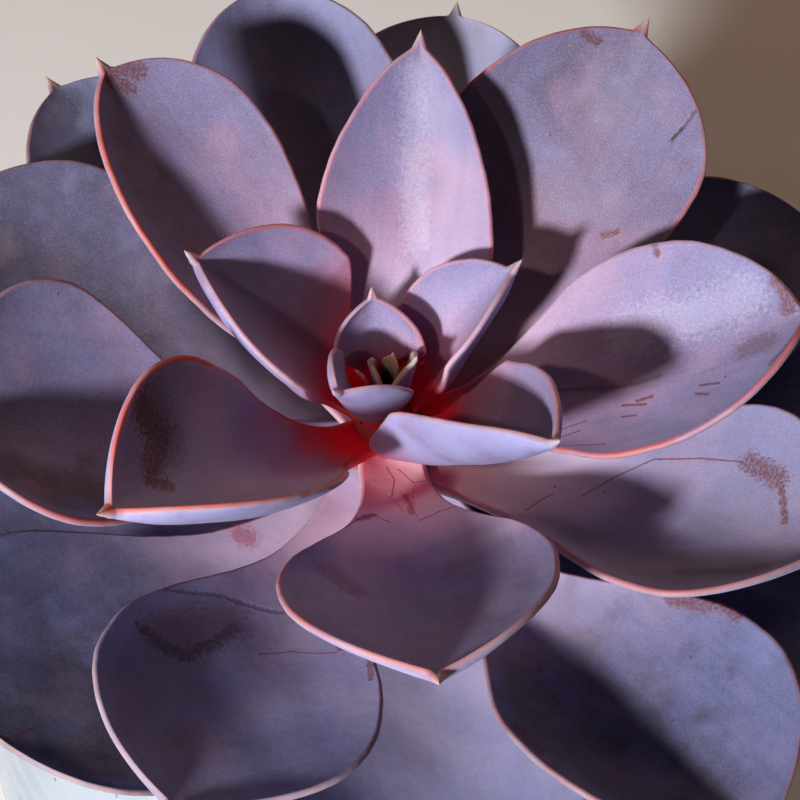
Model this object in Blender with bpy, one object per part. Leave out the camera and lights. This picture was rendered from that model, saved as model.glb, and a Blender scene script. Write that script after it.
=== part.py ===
"""Potted echeveria: a rosette of broad, pointed, waxy leaves on a short stem, in a round glazed pot.

The plant follows one rule. Leaf 0 is the youngest, at the growing point. Each next leaf is turned by the
same angle round the stem and attached a little lower, and its length, width and steepness come from the
short lists below. LEAF_CHANGES then sets single leaves apart, as on a grown plant. The frame is in metres,
+Z up, the front towards -Y, and the base of the pot stands on z = 0. The constants are in millimetres and
degrees.
"""

from math import radians

import bpy
import numpy as np

MM = 0.001
GAP = 0.3

# The pot: its height, its wall, and its outer radius at heights above the base, as pairs (height, radius)
POT_HEIGHT = 124.0
POT_WALL = 5.0
POT_FLOOR = 7.0
POT_FLOOR_RADIUS = 46.0
POT_OUTSIDE = [(0.0, 50.0), (2.0, 52.5), (9.0, 57.0), (20.0, 63.0), (34.0, 69.0), (49.0, 73.0),
               (64.0, 74.5), (79.0, 73.6), (92.0, 71.2), (104.0, 67.6), (113.0, 64.0), (119.0, 62.0)]
# The rounded rim, as pairs (distance in from the mouth's outer edge, depth below the top)
RIM = [(4.2, 0.6), (2.4, 0.0), (1.0, 0.7), (0.4, 2.4)]
ROUND_STEPS = 48

# The soil, and the stem with its plain hole in it
SOIL_TOP = 115.0
SOIL_MOUND = 2.5
SOIL_RINGS = [50.0, 36.0, 22.0, 14.0]
HOLE_RADIUS = 9.0
STEM_FOOT = 90.0
STEM_STEPS = 24

# The stem's outline in three stretches. Its crown, as pairs (radius, depth below the growing point), and its
# foot, as pairs (radius, height above the stem's foot). Between them it follows the roots of STEM_LEAVES, and
# lies inside them by STEM_INSET, a pair of lists of leaf numbers and values.
STEM_CROWN = [(0.6, 0.0), (1.4, 0.6), (2.0, 1.4), (2.5, 2.8)]
STEM_LEAVES = [3, 4, 5, 7, 9, 12, 16, 22, 28]
STEM_INSET = ([3, 4, 7, 9, 16, 30], [1.2, 0.7, 1.2, 1.9, 1.4, 1.1])
STEM_LOWER = [(7.6, 35.0), (8.2, 31.0), (8.7, 28.0), (8.7, 6.0), (8.3, 2.0), (7.0, 0.0)]

# The leaf rule
GROWING_POINT = 158.0
LEAVES = 29
FIRST_OWN_LEAF = 3
FIRST_AZIMUTH = 55.0
TURN_PER_LEAF = 138.4
DROP_PER_LEAF = 1.1

# Leaf sizes that change with age, as lists of leaf numbers and values
LENGTH = ([0, 1, 2, 3, 4, 5, 6, 7, 8, 10, 12, 16, 22, 30],
          [5, 7, 11, 15, 19, 28, 37, 45, 52, 61, 65, 70, 75, 75])
WIDTH = ([0, 1, 2, 3, 4, 5, 6, 7, 8, 10, 12, 16, 22, 30],
         [3, 4.5, 7, 13, 17, 18, 22, 25.5, 28, 34, 37, 41, 43, 42])
STEEPNESS = ([0, 3, 5, 6, 8, 10, 13, 16, 18, 22, 30],
             [84, 74, 58, 53, 45, 35, 27, 16, 10, 7, 2])
BEND = ([0, 4, 8, 12, 30], [0, -2, 4, 15, 18])
ROOT_RADIUS = ([0, 6, 30], [1.5, 5.5, 8.5])
THICKNESS = ([0, 5, 12, 30], [1.2, 2.4, 3.2, 3.3])
BASE_HALF_WIDTH = ([0, 5, 12, 30], [1.2, 3.4, 4.7, 5.0])
EDGE = ([0, 5, 12], [0.8, 1.0, 1.2])
POINT_LENGTH = ([0, 5, 12], [1.0, 2.5, 3.0])
WIDEST = ([3, 8, 12, 30], [0.50, 0.52, 0.66, 0.66])

# Leaf shape that is the same for all: the blade's slope beside the midrib and its further slope at the
# margin, the margin's waves, how its width grows from the root, and how it closes to the point
FOLD = 8.0
CURL = 24.0
WAVE = 0.45
NECK = 2.0
TAPER = 2.3
FULLNESS = 0.62

# How much of its slope the blade has at the root, and the part of its length after which it has all
ROOT_CUP = 0.25
ROOT_CUP_LENGTH = 0.45

# What sets single leaves apart: turn, lift and longer are added to the rule, lower is taken from the height,
# and the rest replaces the rule's value.
LEAF_CHANGES = {
    0: dict(root=0.7, lower=1.2, longer=1.2),
    1: dict(root=1.2, lower=1, longer=0.8),
    2: dict(root=1.8, lower=0.8, longer=0.6),
    3: dict(turn=-5.7, lift=-4, longer=-1, width=15.9, fold=14, curl=42, roll=8, widest=0.47, lean=0.06),
    4: dict(turn=-12, lift=-1, width=17.5, fold=28, curl=38),
    5: dict(turn=1.7, lift=-6.8, longer=-3, width=21.2, fold=26, curl=33, roll=10, neck=1.7, widest=0.42,
            lean=-0.01),
    6: dict(turn=0.4, lift=-3, longer=-2, width=32.4, fold=19, curl=37, roll=-2, widest=0.51, lean=0.06),
    7: dict(turn=1.6, lift=-6.7, lower=0.5, longer=3.9, width=29, fold=25, curl=48, roll=7, neck=1,
            widest=0.34, lean=0.09, bend=18),
    8: dict(turn=1, longer=-1, roll=-6, widest=0.49, taper=1.7, fullness=0.75, lean=0.05),
    9: dict(turn=6.4, lift=-4.7, longer=1.2, width=37.3, fold=27, curl=40, roll=7, neck=2.2, widest=0.66,
            lean=-0.04),
    10: dict(turn=-5, lift=-4.8, longer=1.2, width=34.6, fold=11, curl=26, roll=-10, neck=2.4, widest=0.61,
             lean=-0.02),
    11: dict(turn=1, width=31.9, fold=12, curl=27, roll=-4, neck=2.3, lean=-0.06),
    12: dict(lift=-1.8, width=39.1, fold=7, curl=25, roll=1, neck=3, widest=0.69, lean=-0.05),
    13: dict(turn=-3, longer=0.7, width=42.1, roll=-14, widest=0.62, lean=-0.1),
    14: dict(turn=5.3, lift=2.1, lower=0.15, longer=1.1, width=42.3, fold=15, curl=30, roll=10, neck=4.3,
             widest=0.75),
    15: dict(turn=-2.8, lift=-1, width=40.5, fold=11, roll=6, neck=3, widest=0.75, lean=-0.02),
    16: dict(turn=-3, longer=2.2, width=37.8),
    17: dict(turn=1, lift=0.6, longer=1.3, roll=3, neck=3.7, widest=0.74, lean=0.02),
    18: dict(turn=-3, lift=-2.4, longer=-2),
    19: dict(turn=-7, lift=3),
    20: dict(turn=2, lift=-2.1, longer=6.5, width=43.2, fold=14, curl=29, roll=3, neck=4.6, widest=0.69,
             lean=0.03),
    22: dict(turn=5.2, lift=0.5, longer=-4, width=48.3, fold=3, curl=20, roll=11, neck=3.3, widest=0.75,
             lean=-0.08),
    23: dict(lift=-2),
    24: dict(turn=-4, lift=4, longer=3, width=38),
    25: dict(turn=2, lift=-2, width=44),
    26: dict(lift=-0.7, longer=-13),
    28: dict(lift=-2),
}

# Places across a leaf, from the left margin (1) over the midrib (0) to the right margin (-1)
ACROSS = np.array([0.985, 0.76, 0.40, 0.0, -0.40, -0.76, -0.985])
LEAF_ROWS = 16
SMALL_LEAF_ROWS = 13
HEART_ROWS = 8

SMOOTH_UNDER = radians(35)
GLAZE = (0.70, 0.74, 0.80)
SOIL = (0.05, 0.035, 0.025)
BARK = (0.30, 0.16, 0.13)
YOUNG_LEAF = np.array([0.42, 0.34, 0.44])
OLD_LEAF = np.array([0.25, 0.21, 0.31])


def clear_scene():
    for obj in list(bpy.data.objects):
        bpy.data.objects.remove(obj, do_unlink=True)


def material(name, colour, roughness, coat=0.0, subsurface=0.0):
    made = bpy.data.materials.new(name)
    made.use_nodes = True
    shader = made.node_tree.nodes["Principled BSDF"]
    shader.inputs["Base Color"].default_value = (*colour, 1.0)
    shader.inputs["Roughness"].default_value = roughness
    shader.inputs["Coat Weight"].default_value = coat
    shader.inputs["Subsurface Weight"].default_value = subsurface
    made.diffuse_color = (*colour, 1.0)
    return made


def mesh_object(name, points, edges, faces, look):
    """A smooth-shaded object from points in millimetres."""
    mesh = bpy.data.meshes.new(name)
    mesh.from_pydata((np.asarray(points) * MM).tolist(), edges, faces)
    mesh.materials.append(look)
    mesh.shade_smooth()
    mesh.set_sharp_from_angle(angle=SMOOTH_UNDER)
    made = bpy.data.objects.new(name, mesh)
    bpy.context.scene.collection.objects.link(made)
    return made


def turned(name, profile, steps, look):
    """A solid turned about Z from (radius, height) pairs that run down its outside, flat at both ends."""
    around = np.linspace(0, 2 * np.pi, steps, endpoint=False)
    points = [(radius * np.cos(angle), radius * np.sin(angle), height)
              for radius, height in profile for angle in around]
    last = (len(profile) - 1) * steps
    faces = [tuple(range(steps)), tuple(range(last + steps - 1, last - 1, -1))]
    for k in range(steps):
        n = (k + 1) % steps
        faces += [(r + k, r + steps + k, r + steps + n, r + n) for r in range(0, last, steps)]
    return mesh_object(name, points, [], faces, look)


def pot_inner_radius(height):
    heights, radii = zip(*POT_OUTSIDE)
    return float(np.interp(height, heights, radii)) - POT_WALL


def make_pot():
    mouth = POT_OUTSIDE[-1][1]
    inside = [(pot_inner_radius(height), height) for height, _ in POT_OUTSIDE if height > 2 * POT_FLOOR]
    rim = [(mouth - inwards, POT_HEIGHT - depth) for inwards, depth in RIM]
    outside = [(radius, height) for height, radius in reversed(POT_OUTSIDE)]
    profile = [(POT_FLOOR_RADIUS, POT_FLOOR), *inside, *rim, *outside]
    return turned("pot", profile, ROUND_STEPS, material("pot_glaze", GLAZE, 0.22, coat=0.6))


def make_soil():
    """Soil fills the pot to just short of its wall and floor. The stem stands in a plain round hole."""
    edge = pot_inner_radius(SOIL_TOP) - GAP
    rings = [HOLE_RADIUS, *reversed(SOIL_RINGS), 0.97 * edge]
    top = [(radius, SOIL_TOP + SOIL_MOUND * (1 - (radius / edge) ** 2)) for radius in rings]
    heights = [height for height, _ in reversed(POT_OUTSIDE) if 2 * POT_FLOOR < height < SOIL_TOP]
    side = [(pot_inner_radius(height) - 1.3 * GAP, height) for height in heights]
    foot = (POT_FLOOR_RADIUS - 2.5 * GAP, POT_FLOOR + GAP)
    profile = [(HOLE_RADIUS, STEM_FOOT - GAP), *top, *side, foot]
    return turned("soil", profile, ROUND_STEPS, material("soil_grit", SOIL, 0.95))


def make_stem():
    """The stem, joined with the youngest leaves, which are too small to stand apart."""
    profile = [(radius, GROWING_POINT - depth) for radius, depth in STEM_CROWN]
    for i in STEM_LEAVES:
        radius = np.interp(i, *ROOT_RADIUS) - np.interp(i, *STEM_INSET)
        profile.append((radius, GROWING_POINT - DROP_PER_LEAF * i - 1.0))
    profile += [(radius, STEM_FOOT + height) for radius, height in STEM_LOWER]
    stem = turned("stem", profile, STEM_STEPS, material("stem_bark", BARK, 0.7))
    for i in range(FIRST_OWN_LEAF):
        piece = make_leaf(f"heart_{i}", i, HEART_ROWS)
        piece.hide_render = True
        piece.display_type = "WIRE"
        join = stem.modifiers.new(f"join_{i}", "BOOLEAN")
        join.operation = "UNION"
        join.object = piece
    return stem


def leaf_numbers(i):
    """The measurements of leaf i, from the rule and its own changes."""
    own = dict(LEAF_CHANGES.get(i, {}))
    found = dict(
        azimuth=FIRST_AZIMUTH + TURN_PER_LEAF * i + own.pop("turn", 0.0),
        height=GROWING_POINT - DROP_PER_LEAF * i - own.pop("lower", 0.0),
        rise=np.interp(i, *STEEPNESS) + own.pop("lift", 0.0),
        length=np.interp(i, *LENGTH) + own.pop("longer", 0.0),
        width=np.interp(i, *WIDTH),
        bend=np.interp(i, *BEND),
        root=np.interp(i, *ROOT_RADIUS),
        thickness=np.interp(i, *THICKNESS),
        base=np.interp(i, *BASE_HALF_WIDTH),
        edge=np.interp(i, *EDGE),
        point=np.interp(i, *POINT_LENGTH),
        widest=np.interp(i, *WIDEST),
        fold=FOLD,
        curl=CURL,
        roll=0.0,
        lean=0.0,
        neck=NECK,
        taper=TAPER,
        fullness=FULLNESS,
        wave=WAVE * min(1.0, i / 10),
        phase=0.37 * i,
    )
    found.update(own)
    return found


def half_width(leaf, s, widest):
    """Half the leaf's width at the distances s along it: the blade, and the fine point that ends it."""
    v = np.clip(s / leaf["length"], 0, 1)
    growing = np.sin(np.clip(v / widest, 0, 1) * np.pi / 2) ** leaf["neck"]
    below = leaf["base"] + (leaf["width"] / 2 - leaf["base"]) * growing
    fall = np.clip((v - widest) / (1 - widest), 0, 1)
    above = leaf["width"] / 2 * np.clip(1 - fall ** leaf["taper"], 0, 1) ** leaf["fullness"]
    left_over = leaf["length"] + leaf["point"] - s
    spike = 0.6 * leaf["point"] * np.clip(left_over / (2.2 * leaf["point"]), 0, 1) ** 1.5
    return np.hypot(np.where(v <= widest, below, above), np.maximum(spike, 0.3))


def section(leaf, u):
    """Where the places u lie sideways and upwards for a half width of 1, and the blade's tilt there.

    The blade's slope is fold, reached close to the midrib, plus a curl that grows towards the margin.
    """
    fine = np.linspace(0, 1, 65)
    slope = radians(leaf["fold"]) * np.tanh(fine / 0.22) + radians(leaf["curl"]) * fine
    steps = fine[1]
    aside = np.concatenate([[0], np.cumsum((np.cos(slope[1:]) + np.cos(slope[:-1])) / 2 * steps)])
    raised = np.concatenate([[0], np.cumsum((np.sin(slope[1:]) + np.sin(slope[:-1])) / 2 * steps)])
    distance, side = abs(u), np.sign(u)
    return (side * np.interp(distance, fine, aside), np.interp(distance, fine, raised),
            side * np.interp(distance, fine, slope))


def leaf_points(leaf, rows):
    """Rows of points round the leaf, from root to tip, with the leaf along +X and the stem's axis along Z.

    The midrib climbs at the leaf's rise, which changes by bend over its length. The blade is thickest along
    the midrib, mostly below it, and thins to its edge at the margins.
    """
    s = (leaf["length"] + leaf["point"]) * (1 - (1 - np.linspace(0, 1, rows)) ** 1.35)
    v = s / leaf["length"]
    climb = np.radians(leaf["rise"] + leaf["bend"] * v)
    level = np.zeros(rows)
    along = np.stack([np.cos(climb), level, np.sin(climb)], axis=1)
    upper = np.stack([-np.sin(climb), level, np.cos(climb)], axis=1)
    left = np.stack([level, level + 1, level], axis=1)
    roll = np.radians(leaf["roll"] * np.clip(v / 0.5, 0, 1))[:, None]
    upper, left = upper * np.cos(roll) + left * np.sin(roll), left * np.cos(roll) - upper * np.sin(roll)
    moves = (along[1:] + along[:-1]) / 2 * np.diff(s)[:, None]
    root = np.array([leaf["root"], 0.0, 0.0])
    midrib = np.vstack([root, root + np.cumsum(moves, axis=0)])

    u = np.concatenate([ACROSS, ACROSS[::-1]])
    on_top = np.repeat([True, False], len(ACROSS))
    aside, raised, tilt = section(leaf, u)
    on_left = half_width(leaf, s, leaf["widest"] + leaf["lean"])
    on_right = half_width(leaf, s, leaf["widest"] - leaf["lean"])
    mean = (on_left + on_right) / 2
    half = mean[:, None] + (on_left - on_right)[:, None] / 2 * u
    cup = ROOT_CUP + (1 - ROOT_CUP) * np.clip(v / ROOT_CUP_LENGTH, 0, 1)
    ripple = np.sin(2 * np.pi * (1.6 * v[:, None] + leaf["phase"]) + 1.3 * np.sign(u)) * abs(u) ** 3
    ripple = leaf["wave"] * ripple * (mean / (leaf["width"] / 2))[:, None]

    edge = np.minimum(leaf["edge"], 1.4 * mean + 0.2)
    body = np.minimum(leaf["thickness"] * (1 - 0.45 * np.clip(v, 0, 1) ** 1.5), 1.2 * mean + 0.4)
    crown = (np.maximum(body, edge) - edge)[:, None] * (1 - u ** 2)
    rim = 0.42 * edge[:, None]
    offset = np.where(on_top, rim + 0.15 * crown, -rim - 0.85 * crown)
    sideways = half * aside - offset * np.sin(tilt)
    upwards = half * raised * cup[:, None] + ripple + offset * np.cos(tilt)
    points = midrib[:, None] + left[:, None] * sideways[..., None] + upper[:, None] * upwards[..., None]

    # The root end hugs the stem: points beside the midrib move in, so that all are as far from the axis
    beside = np.clip(abs(sideways), 0, 0.95 * leaf["root"])
    hug = leaf["root"] - np.sqrt(leaf["root"] ** 2 - beside ** 2)
    points[..., 0] -= hug * (np.clip(1 - v / 0.12, 0, 1) ** 2)[:, None]
    return points


def make_leaf(name, i, rows):
    """Leaf i as an object that points along +X, turned to its azimuth and lifted to its height."""
    leaf = leaf_numbers(i)
    grid = leaf_points(leaf, rows)
    count = grid.shape[1]
    points = [*grid.reshape(-1, 3), grid[0].mean(axis=0), grid[-1].mean(axis=0)]
    root_end, tip_end = rows * count, rows * count + 1
    last = (rows - 1) * count
    faces = []
    for k in range(count):
        n = (k + 1) % count
        faces += [(r + k, r + n, r + count + n, r + count + k) for r in range(0, last, count)]
        faces += [(root_end, n, k), (tip_end, last + k, last + n)]
    part = np.clip(i / 20, 0, 1)
    colour = tuple((YOUNG_LEAF * (1 - part) + OLD_LEAF * part).tolist())
    made = mesh_object(name, points, [], faces, material(f"{name}_skin", colour, 0.5, subsurface=0.1))
    made.location.z = leaf["height"] * MM
    made.rotation_euler.z = radians(leaf["azimuth"])
    return made


def main():
    clear_scene()
    make_pot()
    make_soil()
    plant = bpy.data.objects.new("plant", None)
    bpy.context.scene.collection.objects.link(plant)
    make_stem().parent = plant
    for i in range(FIRST_OWN_LEAF, LEAVES):
        make_leaf(f"leaf_{i:02d}", i, SMALL_LEAF_ROWS if i < 6 else LEAF_ROWS).parent = plant


main()
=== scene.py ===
"""The looks of the potted echeveria: waxy leaves with rose margins, a scarred stem, gritty soil, a glazed pot.

Each leaf is worked out by the same rule as its solid in the frame, on a finer grid, so it lies where the solid
does. Sizes are in millimetres and degrees here, and the mesh code turns them into metres. The plant's axis is
the Z axis, +Z is up and the front is towards -Y.
"""

from math import radians

import bpy
import numpy as np
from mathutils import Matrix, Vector


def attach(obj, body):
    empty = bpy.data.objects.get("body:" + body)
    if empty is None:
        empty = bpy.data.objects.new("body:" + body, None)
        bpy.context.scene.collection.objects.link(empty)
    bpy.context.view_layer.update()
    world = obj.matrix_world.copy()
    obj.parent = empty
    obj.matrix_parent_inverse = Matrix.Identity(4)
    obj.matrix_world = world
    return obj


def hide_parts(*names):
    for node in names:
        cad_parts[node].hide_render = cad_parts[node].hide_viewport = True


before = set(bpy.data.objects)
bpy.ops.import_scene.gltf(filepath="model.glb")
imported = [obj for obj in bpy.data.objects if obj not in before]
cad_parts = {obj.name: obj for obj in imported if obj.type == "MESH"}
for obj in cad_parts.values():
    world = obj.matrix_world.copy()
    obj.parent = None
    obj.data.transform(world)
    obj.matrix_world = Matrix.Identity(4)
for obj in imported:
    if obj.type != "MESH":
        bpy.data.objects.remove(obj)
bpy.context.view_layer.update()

MM = 0.001

# The pot, as in the frame: its outer radius at heights above the base, as pairs (height, radius), and its rim,
# as pairs (distance in from the mouth's outer edge, depth below the top)
POT_HEIGHT = 124.0
POT_WALL = 5.0
POT_FLOOR = 7.0
POT_FLOOR_RADIUS = 46.0
POT_OUTSIDE = [(0.0, 50.0), (2.0, 52.5), (9.0, 57.0), (20.0, 63.0), (34.0, 69.0), (49.0, 73.0),
               (64.0, 74.5), (79.0, 73.6), (92.0, 71.2), (104.0, 67.6), (113.0, 64.0), (119.0, 62.0)]
RIM = [(4.2, 0.6), (2.4, 0.0), (1.0, 0.7), (0.4, 2.4)]

# The soil and the stem
SOIL_TOP = 115.0
SOIL_MOUND = 2.5
HOLE_RADIUS = 8.8
STEM_FOOT = 90.0
STEM_CROWN = [(0.6, 0.0), (1.4, 0.6), (2.0, 1.4), (2.5, 2.8)]
STEM_LOWER = [(7.6, 35.0), (8.2, 31.0), (8.6, 28.0), (8.6, 6.0), (8.3, 2.0), (7.0, 0.0), (0.5, 0.0)]
STEM_UNDER_ROOTS = 0.5

# The leaf rule, as in the frame. Each pair of lists gives leaf numbers and the measurement at them, and leaves in
# between follow by straight interpolation.
GROWING_POINT = 158.0
LEAVES = 29
FIRST_OWN_LEAF = 3
FIRST_AZIMUTH = 55.0
TURN_PER_LEAF = 138.4
DROP_PER_LEAF = 1.1
LENGTH = ([0, 1, 2, 3, 4, 5, 6, 7, 8, 10, 12, 16, 22, 30],
          [5, 7, 11, 15, 19, 28, 37, 45, 52, 61, 65, 70, 75, 75])
WIDTH = ([0, 1, 2, 3, 4, 5, 6, 7, 8, 10, 12, 16, 22, 30],
         [3, 4.5, 7, 13, 17, 18, 22, 25.5, 28, 34, 37, 41, 43, 42])
STEEPNESS = ([0, 3, 5, 6, 8, 10, 13, 16, 18, 22, 30],
             [84, 74, 58, 53, 45, 35, 27, 16, 10, 7, 2])
BEND = ([0, 4, 8, 12, 30], [0, -2, 4, 15, 18])
ROOT_RADIUS = ([0, 6, 30], [1.5, 5.5, 8.5])
THICKNESS = ([0, 5, 12, 30], [1.2, 2.4, 3.2, 3.3])
BASE_HALF_WIDTH = ([0, 5, 12, 30], [1.2, 3.4, 4.7, 5.0])
EDGE = ([0, 5, 12], [0.8, 1.0, 1.2])
POINT_LENGTH = ([0, 5, 12], [1.0, 2.5, 3.0])
WIDEST = ([3, 8, 12, 30], [0.50, 0.52, 0.66, 0.66])
FOLD = 8.0
CURL = 24.0
FOLD_REACH = 0.22
WAVE = 0.45
WAVES_PER_LEAF = 1.6
PHASE_PER_LEAF = 0.37
NECK = 2.0
TAPER = 2.3
FULLNESS = 0.62
ROOT_CUP = 0.25
ROOT_CUP_LENGTH = 0.45
LEAF_CHANGES = {
    0: dict(root=0.7, lower=1.2, longer=1.2),
    1: dict(root=1.2, lower=1, longer=0.8),
    2: dict(root=1.8, lower=0.8, longer=0.6),
    3: dict(turn=-5.7, lift=-4, longer=-1, width=15.9, fold=14, curl=42, roll=8, widest=0.47, lean=0.06),
    4: dict(turn=-12, lift=-1, width=17.5, fold=28, curl=38),
    5: dict(turn=1.7, lift=-6.8, longer=-3, width=21.2, fold=26, curl=33, roll=10, neck=1.7, widest=0.42,
            lean=-0.01),
    6: dict(turn=0.4, lift=-3, longer=-2, width=32.4, fold=19, curl=37, roll=-2, widest=0.51, lean=0.06),
    7: dict(turn=1.6, lift=-6.7, lower=0.5, longer=3.9, width=29, fold=25, curl=48, roll=7, neck=1,
            widest=0.34, lean=0.09, bend=18),
    8: dict(turn=1, longer=-1, roll=-6, widest=0.49, taper=1.7, fullness=0.75, lean=0.05),
    9: dict(turn=6.4, lift=-4.7, longer=1.2, width=37.3, fold=27, curl=40, roll=7, neck=2.2, widest=0.66,
            lean=-0.04),
    10: dict(turn=-5, lift=-4.8, longer=1.2, width=34.6, fold=11, curl=26, roll=-10, neck=2.4, widest=0.61,
             lean=-0.02),
    11: dict(turn=1, width=31.9, fold=12, curl=27, roll=-4, neck=2.3, lean=-0.06),
    12: dict(lift=-1.8, width=39.1, fold=7, curl=25, roll=1, neck=3, widest=0.69, lean=-0.05),
    13: dict(turn=-3, longer=0.7, width=42.1, roll=-14, widest=0.62, lean=-0.1),
    14: dict(turn=5.3, lift=2.1, lower=0.15, longer=1.1, width=42.3, fold=15, curl=30, roll=10, neck=4.3,
             widest=0.75),
    15: dict(turn=-2.8, lift=-1, width=40.5, fold=11, roll=6, neck=3, widest=0.75, lean=-0.02),
    16: dict(turn=-3, longer=2.2, width=37.8),
    17: dict(turn=1, lift=0.6, longer=1.3, roll=3, neck=3.7, widest=0.74, lean=0.02),
    18: dict(turn=-3, lift=-2.4, longer=-2),
    19: dict(turn=-7, lift=3),
    20: dict(turn=2, lift=-2.1, longer=6.5, width=43.2, fold=14, curl=29, roll=3, neck=4.6, widest=0.69,
             lean=0.03),
    22: dict(turn=5.2, lift=0.5, longer=-4, width=48.3, fold=3, curl=20, roll=11, neck=3.3, widest=0.75,
             lean=-0.08),
    23: dict(lift=-2),
    24: dict(turn=-4, lift=4, longer=3, width=38),
    25: dict(turn=2, lift=-2, width=44),
    26: dict(lift=-0.7, longer=-13),
    28: dict(lift=-2),
}

# The fine leaf's grid: rows along it, points across each face, and points round each margin. Its root runs on
# into the stem's surface by ROOT_SINK, and its point closes over the last TIP_CLOSE.
LEAF_ROWS = 120
FACE_POINTS = 37
MARGIN_POINTS = 7
SECTION_STEPS = 64
ROOT_SINK = 0.9
TIP_CLOSE = 0.9
POINT_RADIUS = 0.14
POINT_SLOPE = 0.42
PUCKER = 0.16
NICKS = 0.10

# How many points go round the pot and the soil, and round the stem
ROUND_STEPS = 192
STEM_STEPS = 96

# How many sine waves make up the soil's lumps
LUMP_WAVES = 14

# Loose crumbs on the soil: how many, and from how small to how large
GRIT_COUNT = 1100
GRIT_SIZE = (0.7, 3.2)

# The throwing rings on the outside of the pot: their height and their spacing
THROWING_DEPTH = 0.13
THROWING_SPACING = 5.6

# The camera: the growing point seen from above the front, and where the picture has it beside its middle
CAMERA_DISTANCE = 280.0
CAMERA_ELEVATION = 56.0
CAMERA_LENS = 85.05
CAMERA_SHIFT = (0.01625, -0.0225)

# The lights: azimuth and elevation they come from, distance and size in metres, watts and colour. A low key from the
# left of the front, a narrow spot on the heart with its cone's width, a broad warm one from behind, and a warm fill.
LIGHTS = {
    "key": dict(azimuth=233.0, elevation=30.0, distance=1.0, size=0.10, power=12.6, colour=(0.97, 0.98, 1.0)),
    "heart": dict(azimuth=228.0, elevation=50.0, distance=1.0, size=0.06, power=9.0, colour=(1.0, 0.80, 0.68),
                  cone=6.0),
    "back": dict(azimuth=65.0, elevation=40.0, distance=1.0, size=0.9, power=2.0, colour=(1.0, 0.70, 0.55)),
}
FILL_COLOUR = (1.0, 0.70, 0.50, 1.0)
FILL_STRENGTH = 0.022


def leaf_numbers(i):
    """The measurements of leaf i, from the rule and its own changes."""
    own = dict(LEAF_CHANGES.get(i, {}))
    found = dict(
        number=i,
        azimuth=FIRST_AZIMUTH + TURN_PER_LEAF * i + own.pop("turn", 0.0),
        height=GROWING_POINT - DROP_PER_LEAF * i - own.pop("lower", 0.0),
        rise=np.interp(i, *STEEPNESS) + own.pop("lift", 0.0),
        length=np.interp(i, *LENGTH) + own.pop("longer", 0.0),
        width=np.interp(i, *WIDTH),
        bend=np.interp(i, *BEND),
        root=np.interp(i, *ROOT_RADIUS),
        thickness=np.interp(i, *THICKNESS),
        base=np.interp(i, *BASE_HALF_WIDTH),
        edge=np.interp(i, *EDGE),
        point=np.interp(i, *POINT_LENGTH),
        widest=np.interp(i, *WIDEST),
        fold=FOLD,
        curl=CURL,
        roll=0.0,
        lean=0.0,
        neck=NECK,
        taper=TAPER,
        fullness=FULLNESS,
        wave=WAVE * min(1.0, i / 10),
        phase=PHASE_PER_LEAF * i,
    )
    found.update(own)
    return found


def half_width(leaf, s, widest):
    """Half the leaf's width at the distances s along it, with its widest place at the share widest of its length.

    From the root to the widest place it grows with a sine, then falls as a power of the way left. The point is
    a cone whose half width is a share of the way left to its end, added as the other side of a right angle.
    """
    v = np.clip(s / leaf["length"], 0, 1)
    growing = np.sin(np.clip(v / widest, 0, 1) * np.pi / 2) ** leaf["neck"]
    below = leaf["base"] + (leaf["width"] / 2 - leaf["base"]) * growing
    fall = np.clip((v - widest) / (1 - widest), 0, 1)
    above = leaf["width"] / 2 * np.clip(1 - fall ** leaf["taper"], 0, 1) ** leaf["fullness"]
    left_over = leaf["length"] + leaf["point"] - s
    spike = POINT_SLOPE * np.clip(left_over, 0, 2.0 * leaf["point"])
    return np.hypot(np.where(v <= widest, below, above), np.maximum(spike, POINT_RADIUS))


def section(leaf, u):
    """Where the places u lie sideways and upwards for a half width of 1, and the blade's tilt there.

    The blade's slope is fold, reached close to the midrib, plus a curl that grows towards the margin. The
    places are the running sums of its cosine and sine.
    """
    fine = np.linspace(0, 1, SECTION_STEPS + 1)
    slope = radians(leaf["fold"]) * np.tanh(fine / FOLD_REACH) + radians(leaf["curl"]) * fine
    steps = fine[1]
    aside = np.concatenate([[0], np.cumsum((np.cos(slope[1:]) + np.cos(slope[:-1])) / 2 * steps)])
    raised = np.concatenate([[0], np.cumsum((np.sin(slope[1:]) + np.sin(slope[:-1])) / 2 * steps)])
    distance, side = abs(u), np.sign(u)
    return (side * np.interp(distance, fine, aside), np.interp(distance, fine, raised),
            side * np.interp(distance, fine, slope))


def ring_places(round_share):
    """The places u across the leaf and the side w (1 on top, -1 below) of each point of a ring, row by row.

    Each face runs straight across between the margins, and each margin is a half circle: u goes out by the
    sine and w changes by the cosine of the angle round it. round_share is the margin's part of the half width.
    """
    flat = np.sin(np.linspace(np.pi / 2, -np.pi / 2, FACE_POINTS))
    turn = np.pi * np.arange(1, MARGIN_POINTS + 1) / (MARGIN_POINTS + 1)
    share = round_share[:, None]
    face = (1 - share) * flat
    margin = (1 - share) + share * np.sin(turn)
    full = np.ones_like(face)
    level = np.ones_like(margin) * np.cos(turn)
    u = np.hstack([face, -margin, face[:, ::-1], margin[:, ::-1]])
    w = np.hstack([full, level, -full, level[:, ::-1]])
    return u, w


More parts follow.
